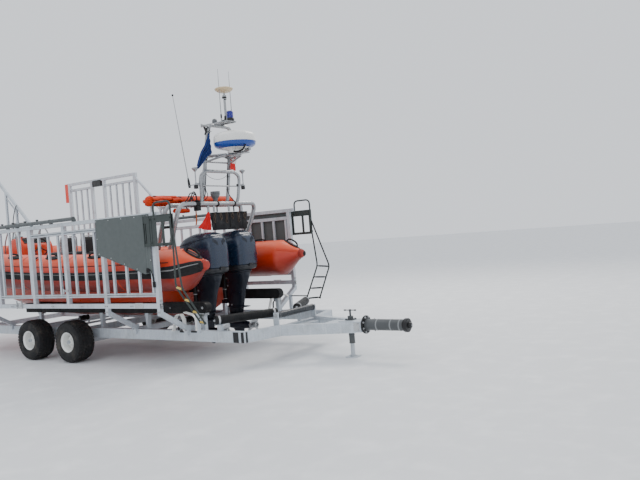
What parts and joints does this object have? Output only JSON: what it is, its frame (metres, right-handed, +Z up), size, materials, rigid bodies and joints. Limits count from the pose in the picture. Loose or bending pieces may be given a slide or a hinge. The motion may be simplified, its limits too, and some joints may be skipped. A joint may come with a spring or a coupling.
{
  "type": "inshore rescue boat on launching carriage",
  "caption": "Rigid-hulled inflatable inshore rescue boat with twin outboards, roll-over arch and mast, on its wheeled launching carriage with side guard fences.",
  "frame": {"origin": "on the floor under the tyres, on the centreline, in the middle of the whole length from hitch tip to bow", "axes": "+X towards the boat's bow, +Y to port, +Z up"},
  "size_m": [10.8172, 3.4386, 4.35],
  "materials": {
    "galvanised_steel": "dull galvanised",
    "orange_hull": "satin gelcoat",
    "orange_tube": "coated fabric, satin",
    "orange_bag": "coated cloth",
    "black_rubber": "matt",
    "black_metal": "satin",
    "navy_gloss": "glossy",
    "grey_plastic": "matt",
    "grey_paint": "satin",
    "white_plastic": "glossy",
    "white_paint": "satin",
    "alloy_tube": "dull",
    "screen_clear": "clear",
    "black_vinyl": "padded vinyl",
    "net_cloth": "net and cloth",
    "tyre": "matt",
    "flag_navy": "woven flag cloth",
    "flag_scarlet": "woven flag cloth",
    "steel_shaft": "satin"
  },
  "bodies": {
    "boat_on_carriage": {"chassis": "galvanised_steel", "axle_1": "galvanised_steel", "axle_2": "galvanised_steel", "hitch": "grey_paint", "jack_tube": "grey_paint", "fence_port": "galvanised_steel", "fence_stbd": "galvanised_steel", "panel_port": "grey_paint", "panel_stbd": "grey_paint", "ladder_port": "black_metal", "ladder_stbd": "black_metal", "bunk_port": "black_rubber", "bunk_stbd": "black_rubber", "fender_port": "black_rubber", "fender_stbd": "black_rubber", "hull": "orange_hull", "collar": "orange_tube", "strake": "black_rubber", "arch": "alloy_tube", "mast": "alloy_tube", "radar": "white_plastic", "beacon": "navy_gloss", "searchlight": "black_metal", "flag_blue": "flag_navy", "flag_red": "flag_scarlet", "bow_frame_port": "galvanised_steel", "bow_frame_stbd": "galvanised_steel", "console": "orange_hull", "screen": "screen_clear", "seat_pod": "grey_plastic", "seats": "black_vinyl", "bow_locker": "grey_plastic", "righting_bag": "orange_bag", "net_bag": "net_cloth", "clamp_port": "black_metal", "clamp_stbd": "black_metal"},
    "tilt_unit_port": {"swivel_port": "black_metal"},
    "engine_port": {"leg_port": "black_metal", "cowl_port": "navy_gloss"},
    "propeller_port": {"prop_port": "steel_shaft"},
    "tilt_unit_stbd": {"swivel_stbd": "black_metal"},
    "engine_stbd": {"leg_stbd": "black_metal", "cowl_stbd": "navy_gloss"},
    "propeller_stbd": {"prop_stbd": "steel_shaft"},
    "helm": {"helm_wheel": "black_rubber"},
    "wheel_port_1": {"tyre_port_1": "tyre", "rim_port_1": "white_paint"},
    "wheel_port_2": {"tyre_port_2": "tyre", "rim_port_2": "white_paint"},
    "wheel_stbd_1": {"tyre_stbd_1": "tyre", "rim_stbd_1": "white_paint"},
    "wheel_stbd_2": {"tyre_stbd_2": "tyre", "rim_stbd_2": "white_paint"},
    "roller_1": {"keel_roller_1": "black_rubber"},
    "roller_2": {"keel_roller_2": "black_rubber"},
    "roller_stern": {"stern_roller": "grey_plastic"},
    "jack_foot": {"jack_leg": "galvanised_steel"}
  },
  "joints": [
    {"name": "tilt_port", "type": "hinge", "parent": "boat_on_carriage", "child": "tilt_unit_port", "pos_m": [-1.75856, 0.333, 1.212], "axis": [0, 1, 0], "range_deg": [0, 60], "deforming": ["net_bag", "flag_red"]},
    {"name": "steer_port", "type": "hinge", "parent": "tilt_unit_port", "child": "engine_port", "pos_m": [-1.88856, 0.333, 0.95], "axis": [0, 0, 1], "range_deg": [-25, 25]},
    {"name": "prop_spin_port", "type": "hinge", "parent": "engine_port", "child": "propeller_port", "pos_m": [-2.44356, 0.333, 0.36], "axis": [1, 0, 0], "continuous": true},
    {"name": "tilt_stbd", "type": "hinge", "parent": "boat_on_carriage", "child": "tilt_unit_stbd", "pos_m": [-1.75856, -0.333, 1.212], "axis": [0, 1, 0], "range_deg": [0, 60]},
    {"name": "steer_stbd", "type": "hinge", "parent": "tilt_unit_stbd", "child": "engine_stbd", "pos_m": [-1.88856, -0.333, 0.95], "axis": [0, 0, 1], "range_deg": [-25, 25]},
    {"name": "prop_spin_stbd", "type": "hinge", "parent": "engine_stbd", "child": "propeller_stbd", "pos_m": [-2.44356, -0.333, 0.36], "axis": [1, 0, 0], "continuous": true},
    {"name": "helm_turn", "type": "hinge", "parent": "boat_on_carriage", "child": "helm", "pos_m": [2.72144, 0, 1.88], "axis": [1, 0, 0], "range_deg": [-450, 450]},
    {"name": "wheel_spin_port_1", "type": "hinge", "parent": "boat_on_carriage", "child": "wheel_port_1", "pos_m": [-0.10856, 1.31, 0.33], "axis": [0, 1, 0], "continuous": true},
    {"name": "wheel_spin_port_2", "type": "hinge", "parent": "boat_on_carriage", "child": "wheel_port_2", "pos_m": [0.94144, 1.31, 0.33], "axis": [0, 1, 0], "continuous": true},
    {"name": "wheel_spin_stbd_1", "type": "hinge", "parent": "boat_on_carriage", "child": "wheel_stbd_1", "pos_m": [-0.10856, -1.31, 0.33], "axis": [0, 1, 0], "continuous": true},
    {"name": "wheel_spin_stbd_2", "type": "hinge", "parent": "boat_on_carriage", "child": "wheel_stbd_2", "pos_m": [0.94144, -1.31, 0.33], "axis": [0, 1, 0], "continuous": true},
    {"name": "keel_roller_spin_1", "type": "hinge", "parent": "boat_on_carriage", "child": "roller_1", "pos_m": [-1.35856, 0, 0.492], "axis": [0, 1, 0], "continuous": true},
    {"name": "keel_roller_spin_2", "type": "hinge", "parent": "boat_on_carriage", "child": "roller_2", "pos_m": [1.44144, 0, 0.492], "axis": [0, 1, 0], "continuous": true},
    {"name": "stern_roller_spin", "type": "hinge", "parent": "boat_on_carriage", "child": "roller_stern", "pos_m": [-3.53856, 0, 0.63], "axis": [0, 1, 0], "continuous": true},
    {"name": "jack_slide", "type": "slide", "parent": "boat_on_carriage", "child": "jack_foot", "axis": [0, 0, 1], "range_m": [0, 0.15]}
  ],
  "couplings": [
    {"joint": "tilt_stbd", "follows": "tilt_port", "ratio": 1},
    {"joint": "steer_stbd", "follows": "steer_port", "ratio": 1},
    {"joint": "helm_turn", "follows": "steer_port", "ratio": 18}
  ]
}
